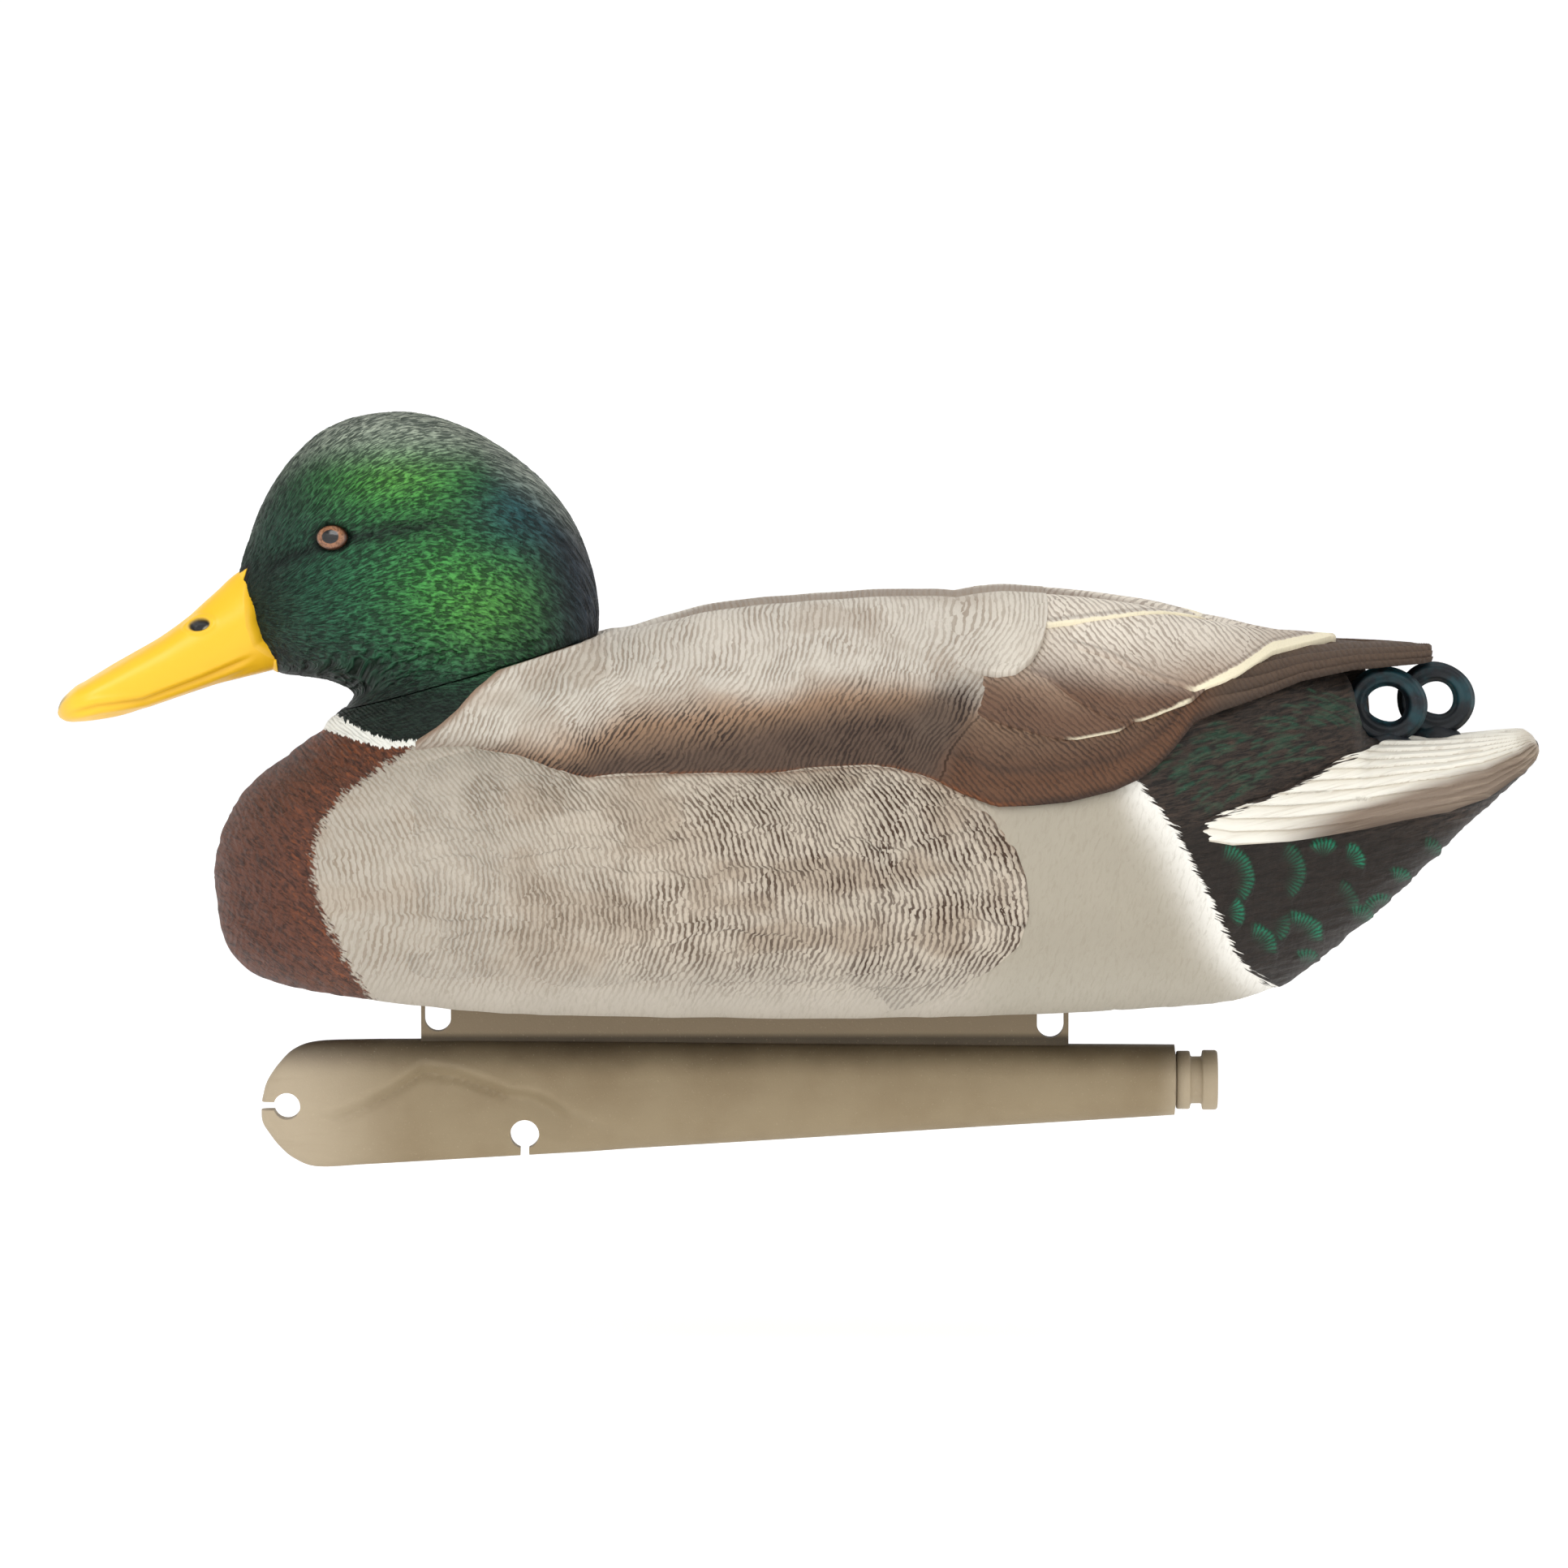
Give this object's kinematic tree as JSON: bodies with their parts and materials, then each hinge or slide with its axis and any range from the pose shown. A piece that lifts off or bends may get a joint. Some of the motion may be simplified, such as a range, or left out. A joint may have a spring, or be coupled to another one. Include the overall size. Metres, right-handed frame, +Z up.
{
  "type": "floating duck decoy",
  "caption": "Floating drake duck decoy: hollow hull, swivelling low head with separate bill and eyes, soft tail curls, weight-forward keel with tie keyholes and a pull-out plug",
  "frame": {"origin": "on the waterline in the middle of the hull's width, above the middle of the keel", "axes": "+X to the tail along the length, +Y to the bird's right across the width, +Z up"},
  "size_m": [0.4067, 0.1666, 0.2083],
  "materials": {
    "hull_plastic": "matt paint over moulded feather relief",
    "head_plastic": "satin green paint over fine feather relief",
    "bill_plastic": "glossy yellow paint",
    "eye_resin": "glossy resin",
    "retainer_nylon": "as moulded",
    "curl_rubber": "satin dark blue-green paint",
    "keel_plastic": "matt tan paint",
    "ballast_metal": "bare",
    "plug_plastic": "matt tan paint",
    "seal_rubber": "bare"
  },
  "bodies": {
    "hull": {"body_shell": "hull_plastic", "keel_shell": "keel_plastic", "ballast_weight": "ballast_metal", "tail_curl_left": "curl_rubber", "tail_curl_right": "curl_rubber"},
    "head": {"head_shell": "head_plastic", "bill": "bill_plastic", "eye_left": "eye_resin", "eye_right": "eye_resin", "neck_retainer": "retainer_nylon"},
    "plug": {"keel_plug": "plug_plastic", "plug_seal": "seal_rubber"}
  },
  "joints": [
    {"name": "head_swivel", "type": "hinge", "parent": "hull", "child": "head", "pos_m": [-0.0825, 0, 0.0724], "axis": [-0.2823, 0, 0.9593], "range_deg": [-25, 25]},
    {"name": "keel_plug_pull", "type": "slide", "parent": "hull", "child": "plug", "axis": [1, 0, 0], "range_m": [0, 0.035]}
  ]
}
